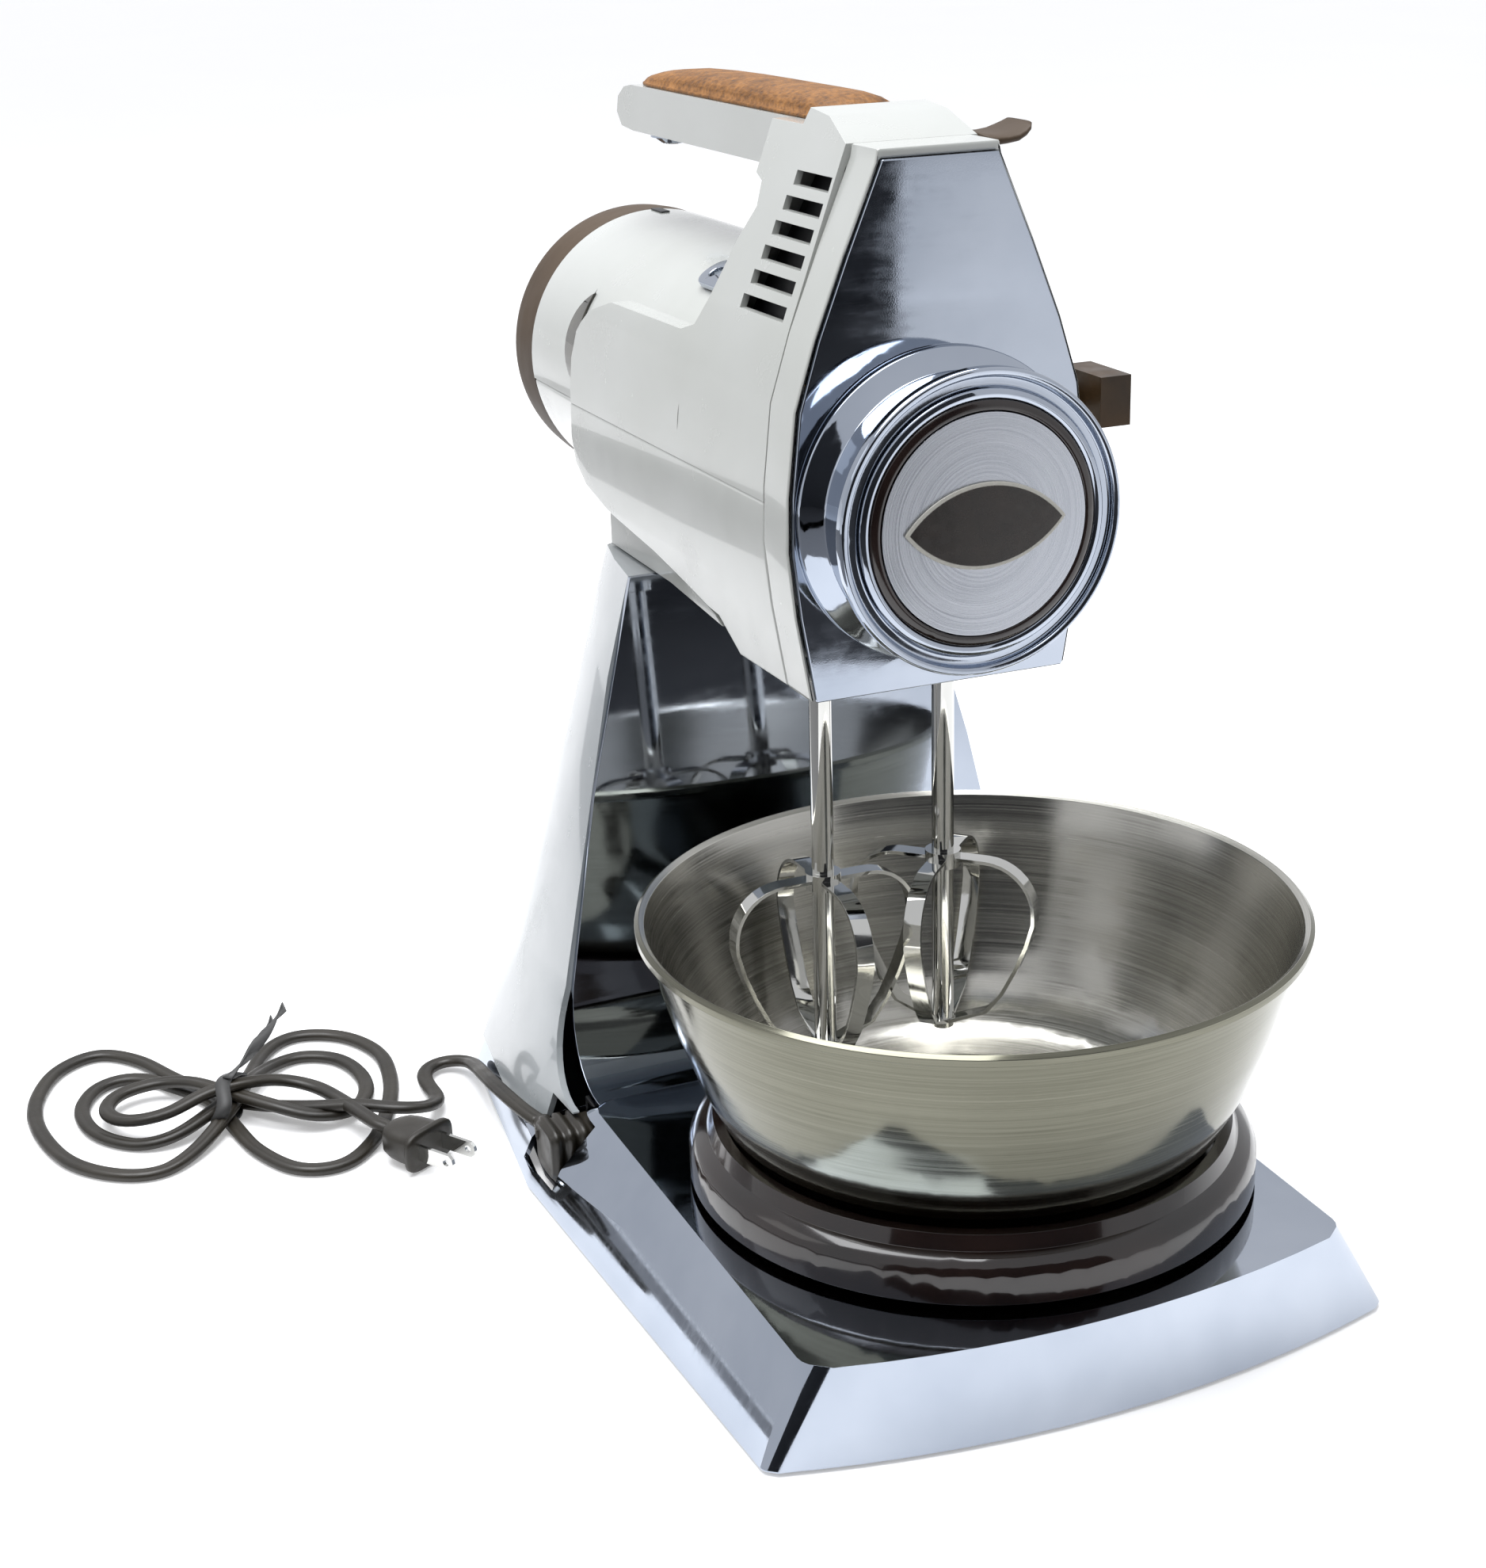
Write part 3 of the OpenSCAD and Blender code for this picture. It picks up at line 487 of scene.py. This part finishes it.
def build_thumb_lever():
    """Paddle with a hollow top and a turned-up tip, on an arm that goes down into the head."""
    profile = [(15.0, 386.0, 1.6, 5.6), (19, 386.0, 1.7, 5.8), (24, 386.0, 1.7, 5.8), (27, 385.8, 1.8, 5.9),
               (27.6, 385.7, 1.8, 8.0), (28.4, 385.5, 1.9, 10.6), (30, 385.1, 1.9, 12.2),
               (32, 384.8, 1.9, 12.8),
               (36, 384.7, 1.7, 12.9), (40, 385.2, 1.7, 12.8), (43, 386.2, 1.5, 12.0),
               (45.2, 387.2, 1.2, 10.6),
               (46.3, 388.0, 0.7, 8.8)]
    rings = []
    for x, z, thick, reach in profile:
        middle = -47 if x < 27.3 else -49
        ring = []
        for k in range(24):
            a = 2 * math.pi * k / 24
            c, q = math.cos(a), math.sin(a)
            ring.append((x, middle + reach * math.copysign(abs(c) ** 0.5, c),
                         z - thick + thick * math.copysign(abs(q) ** 0.7, q)))
        rings.append(ring)
    verts, faces = skin(rings)
    piece("thumb_paddle", verts, faces, "tan_plastic", "ejector", ("ejector_lever",))
    rings = []
    for z in (316.1, 320, 350, 380, 384.4, 387.2, 387.9):
        tight = 0.4 if z > 387.5 else 0.0
        rings.append([(12 + tight, -53 + tight, z), (14.4 - tight, -53 + tight, z),
                      (14.4 - tight, -41 - tight, z),
                      (12 + tight, -41 - tight, z)])
    verts, faces = skin(rings)
    start = len(verts)
    verts += [(14.3, -52.6, 384.2), (18, -52.6, 384.2), (18, -41.4, 384.2), (14.3, -41.4, 384.2),
              (14.3, -52.6, 387.6), (18, -52.6, 387.6), (18, -41.4, 387.6), (14.3, -41.4, 387.6)]
    faces += [tuple(start + k for k in f) for f in
              ((3, 2, 1, 0), (4, 5, 6, 7), (0, 1, 5, 4), (1, 2, 6, 5), (2, 3, 7, 6), (3, 0, 4, 7))]
    piece("thumb_arm", verts, faces, "bright_steel", "ejector", smooth=False)


build_grip()
build_thumb_lever()


# ---------- cord ----------

CORD_WIDTH = 6.5
CORD_LEAD = [(-114.6, 27, 20.5), (-116.8, 34.5, 20.5), (-118.4, 46, 20), (-119.3, 58, 19), (-119.7, 70, 17.5),
             (-119.2, 82, 15.2), (-118.2, 94, 12.4), (-117.2, 105, 9.4), (-116.8, 114, 6.8),
             (-118.2, 120, 5.2), (-121.8, 124.2, 4.2), (-126.6, 125.8, 3.6),
             (-131.4, 124.2, 3.4), (-135.2, 120, 3.4),
             (-136.8, 114, 3.4), (-136.8, 105, 3.4), (-136.6, 97, 3.8), (-138, 90, 5), (-141.8, 84, 6.8),
             (-147.4, 80.8, 8.6), (-153, 80.6, 9.8), (-158, 82.4, 10.2)]
CORD_HANK = [(-171, 93, 9.5), (-191, 107, 6.5), (-211, 130, 2.4),
             (-229, 160, 2), (-241, 186, 2), (-256, 199, 2), (-274, 190, 2), (-286, 165, 2), (-288, 138, 2),
             (-281, 108, 2), (-266, 90, 2), (-250, 85, 2), (-233, 96, 3.5),
             (-215, 119, 6.4),
             (-203, 146, 3.5), (-190, 171, 2), (-175, 180, 2), (-157, 171, 2), (-147, 149, 2), (-149, 122, 2),
             (-157, 97, 2), (-168, 75, 2), (-184, 60, 2), (-201, 64, 2), (-212, 85, 2), (-216, 107, 2.2),
             (-220, 132, 2.6),
             (-231, 154, 2.2), (-245, 170, 2), (-260, 168, 2), (-270, 150, 2), (-268, 128, 2), (-256, 112, 2),
             (-241, 108, 4),
             (-222, 119, 6.6), (-206, 136, 6.6),
             (-194, 152, 3.4), (-180, 160, 2), (-165, 152, 2), (-159, 134, 2),
             (-161, 115, 2.4), (-171, 100, 3.6), (-186, 96, 6.6),
             (-201, 107, 9.5),
             (-215, 124, 10.4),
             (-227, 144, 8.5), (-241, 153, 6.4), (-256, 149, 6), (-262, 136, 6.2),
             (-256, 123, 7.2), (-241, 117, 10),
             (-224, 121, 13.6), (-208, 123, 13.6),
             (-193, 126, 10.2), (-181, 119, 7.8), (-175, 104, 8), (-172, 88, 10)]
CORD_TAIL = [(-168, 71.5, 11), (-166.3, 69.3, 10.8), (-164.6, 67.1, 10.4), (-163, 65, 10)]


def cord_section():
    """Two round cores side by side, joined by a thin web."""
    half, thick = CORD_WIDTH / 2, 1.95
    centre = half - thick
    right = [(centre + thick * math.cos(math.radians(a)), thick * math.sin(math.radians(a)))
             for a in range(-120, 121, 24)]
    return right + [(-x, -y) for x, y in right]


def build_cord():
    path = [Vector((p.x, p.y, max(p.z, 2.15))) for p in smooth_path(CORD_LEAD + CORD_HANK + CORD_TAIL, 3.0)]
    verts, faces = skin(swept(path, cord_section()))
    return piece("mains_cord", verts, faces, "cord_cover", "stand",
                 ("cord_lead", "cord_hank", "cord_tail")), [p * MM for p in path]


def build_plug():
    """Two-blade plug: flat body that widens to a flange, with two drilled blades."""
    at = Matrix.Translation((-163, 65, 8.5)) @ Matrix.Rotation(math.radians(-58), 4, "Z")

    def rounded(x, width, height, power=4.0, lift=0.0):
        ring = []
        for k in range(28):
            a = 2 * math.pi * k / 28
            c, s = math.cos(a), math.sin(a)
            ring.append(at @ Vector((x, width * math.copysign(abs(c) ** (2 / power), c),
                                     lift + height * math.copysign(abs(s) ** (2 / power), s))))
        return ring
    outline = [(0, 3.6, 2.8, 1.5), (-0.6, 4.6, 3.6, 1.5), (0.4, 6, 4.4, 1.2), (3, 9.2, 5.6, 0.6),
               (7, 10.4, 6.2, 0.2), (12, 10.6, 6.6, 0), (15.5, 10.4, 6.8, 0), (16.6, 10.6, 7, 0),
               (17.0, 12.2, 7.8, 0), (17.6, 12.9, 8.1, 0), (19.2, 12.9, 8.1, 0), (19.9, 12.3, 7.6, 0),
               (20, 10, 5.5, 0)]
    verts, faces = skin([rounded(x, w, h, lift=z) for x, w, h, z in outline])
    body = piece("plug_body", verts, faces, "cord_cover", "stand", ("cord_plug",))
    blades, sides = [], []
    for y in (-6.35, 6.35):
        start = len(blades)
        loop = [(19.5, -3.2), (35, -3.2), (36.6, -1.8), (37, 0), (36.6, 1.8), (35, 3.2), (19.5, 3.2)]
        hole = [(33.4 + 1.5 * math.cos(a), 1.5 * math.sin(a)) for a in
                [math.radians(d) for d in range(-180, 180, 30)]]
        for depth in (-0.75, 0.75):
            blades += [at @ Vector((x, y + depth, z)) for x, z in loop + hole]
        n, h = len(loop), len(hole)
        for k in range(n):
            a, b = start + k, start + (k + 1) % n
            sides.append((a, b, b + n + h, a + n + h))
        for k in range(h):
            a, b = start + n + k, start + n + (k + 1) % h
            sides.append((b, a, a + n + h, b + n + h))
        # the flat sides: strips from the outer loop to the hole, by nearest point
        for depth in (0, n + h):
            ring = [start + depth + n + k for k in range(h)]
            outer = [start + depth + k for k in range(n)]
            pairs = [(0, 0), (0, 1), (0, 2), (0, 3), (1, 4), (2, 5), (3, 6), (4, 7), (5, 8), (6, 9), (6, 10),
                     (6, 11), (0, 0)]
            for (o1, h1), (o2, h2) in zip(pairs, pairs[1:]):
                face = [outer[o1], outer[o2], ring[h2 % h], ring[h1 % h]]
                face = list(dict.fromkeys(face))
                sides.append(tuple(face if depth else reversed(face)))
    metal = piece("plug_blades", blades, sides, "bright_steel", "stand", smooth=False)
    return [body, metal]


def build_connector():
    """The cord's connector in the side of the stand, with finger ridges and a strain relief."""
    def block(x, half_y, half_z):
        ring = []
        for k in range(32):
            a = 2 * math.pi * k / 32
            c, s = math.cos(a), math.sin(a)
            ring.append((x, 9 + half_y * math.copysign(abs(c) ** 0.4, c),
                         18.2 + half_z * math.copysign(abs(s) ** 0.4, s)))
        return ring
    rings = [block(-118.6, 7, 6.6), block(-119.4, 8.6, 8.2), block(-119, 9.6, 9.2)]
    for x in (-117.4, -112, -106.6):
        rings += [block(x - 0.9, 9.6, 9.2), block(x - 0.5, 10.9, 10.5), block(x + 1.9, 10.9, 10.5),
                  block(x + 2.3, 9.6, 9.2)]
    rings += [block(-103, 9.4, 9), block(-98, 9.4, 9), block(-84, 9.4, 9)]
    verts, faces = skin(rings)
    body = piece("connector_body", verts, faces, "cord_cover", "stand", ("cord_connector",))
    sleeve = []
    for y, r in [(17, 5.6), (18.5, 5.4), (19, 4.9), (20.4, 4.9), (20.9, 4.5), (22.3, 4.4),
                 (22.8, 4.0), (24.2, 4.0), (24.8, 3.7), (27.4, 3.5)]:
        sleeve.append([(-114 + r * 1.05 * math.cos(a), y, 20.5 + r * 0.8 * math.sin(a))
                       for a in [2 * math.pi * k / 20 for k in range(20)]])
    verts, faces = skin(sleeve)
    relief = piece("connector_relief", verts, faces, "cord_cover", "stand")
    return [body, relief]


def tie_section(t):
    """A flat strip that twists along its length."""
    c, q = math.cos(5 * t), math.sin(5 * t)
    return [(w * c, w * q) for w in (-2.2, 2.2)] + [(w * c + 0.6 * q, w * q - 0.6 * c) for w in (2.2, -2.2)]


def build_tie():
    """A twisted tie pulled round the middle of the hank, with two loose ends."""
    along = Vector((0.42, 0.9, 0)).normalized()
    across = Vector((0.9, -0.42, 0))
    centre = Vector((-215, 123, 8.4))
    loop = [centre + across * (1.5 * math.sin(3 * a)) + along * (15.5 * math.cos(a))
            + Vector((0, 0, 7.3 * math.sin(a)))
            for a in [2 * math.pi * k / 40 for k in range(41)]]
    rings = []
    for i, at in enumerate(loop):
        a = 2 * math.pi * i / 40
        out = (along * math.cos(a) + Vector((0, 0, math.sin(a)))).normalized()
        rings.append([at + across * s + out * u for s, u in
                      [(-3, -0.5), (0, -0.7), (3, -0.5), (3, 0.5), (0, 0.9), (-3, 0.5)]])
    verts, faces = skin(rings, closed_ends=False)
    for end in ((-181, 166, 23.4), (-187, 163, 20)):
        start = centre + Vector((0, 0, 9))
        line = smooth_path([start, start.lerp(Vector(end), 0.45) + Vector((1.5, -2, 1.2)), Vector(end)], 3.0)
        more, more_faces = skin(swept(line, tie_section))
        shift = len(verts)
        verts = verts + more
        faces = faces + [tuple(v + shift for v in f) for f in more_faces]
    return piece("cord_twist_tie", verts, faces, "wire_cover", "stand", ("cord_tie",))


cord, cord_path = build_cord()
plug = build_plug()
connector = build_connector()
tie = build_tie()


# ---------- stage and light ----------

def stage_plane(name, corners, colour, glow=0.0):
    mesh = bpy.data.meshes.new(name)
    mesh.from_pydata(corners, [], [tuple(range(len(corners)))])
    tree = Nodes(name)
    tone = tree.ramp(tree.noise(3.0), [(0.3, [c * 0.985 for c in colour]), (0.7, colour)])
    grain = tree.bump(tree.noise(200.0), 0.00001)
    tree.done(tone, tree.spread(tree.noise(30.0), 0.75, 0.9), grain, Emission_Strength=glow)
    tree.shader.inputs["Emission Color"].default_value = (1, 1, 1, 1)
    mesh.materials.append(tree.material)
    made = bpy.data.objects.new(name, mesh)
    bpy.context.scene.collection.objects.link(made)


def area_light(name, at, towards, size, power, colour):
    data = bpy.data.lights.new(name, "AREA")
    data.shape = "RECTANGLE"
    data.size, data.size_y = size
    data.energy = power
    data.color = colour
    made = bpy.data.objects.new(name, data)
    made.location = at
    made.rotation_euler = (Vector(towards) - Vector(at)).to_track_quat("-Z", "Y").to_euler()
    bpy.context.scene.collection.objects.link(made)


def light_the_studio():
    stage_plane("studio_floor", [(-14, -3, 0), (14, -3, 0), (14, 20, 0), (-14, 20, 0)],
                (0.86, 0.86, 0.86), 0.28)
    stage_plane("dark_floor", [(-3, -1.9, 0.001), (0.86, -1.9, 0.001), (0.31, -0.72, 0.001),
                               (-3, -0.72, 0.001)], (0.02, 0.02, 0.022))
    stage_plane("dark_card", [(-3, -1.9, 0), (0.86, -1.9, 0), (0.86, -1.9, 1.5), (-3, -1.9, 1.5)],
                (0.012, 0.013, 0.016))
    stage_plane("left_floor", [(-1.6, -0.9, 0.001), (-0.44, -0.9, 0.001), (-0.36, 0.0, 0.001),
                               (-0.34, 0.45, 0.001), (-0.30, 1.2, 0.001), (-1.6, 1.2, 0.001)],
                (0.17, 0.17, 0.175))
    area_light("overhead", (-0.25, 0.2, 1.7), (0, 0, 0.2), (1.6, 1.3), 44, (0.97, 0.98, 1.0))
    area_light("left_window", (-1.9, 0.5, 1.4), (0, 0, 0.3), (1.0, 0.8), 2, (1.0, 0.99, 0.96))
    world = bpy.data.worlds.new("world")
    bpy.context.scene.world = world
    world.use_nodes = True
    background = world.node_tree.nodes["Background"]
    background.inputs["Color"].default_value = (0.96, 0.97, 1.0, 1)
    background.inputs["Strength"].default_value = 0.84
    view = bpy.context.scene.view_settings
    view.view_transform = "Standard"
    view.look = "None"


light_the_studio()
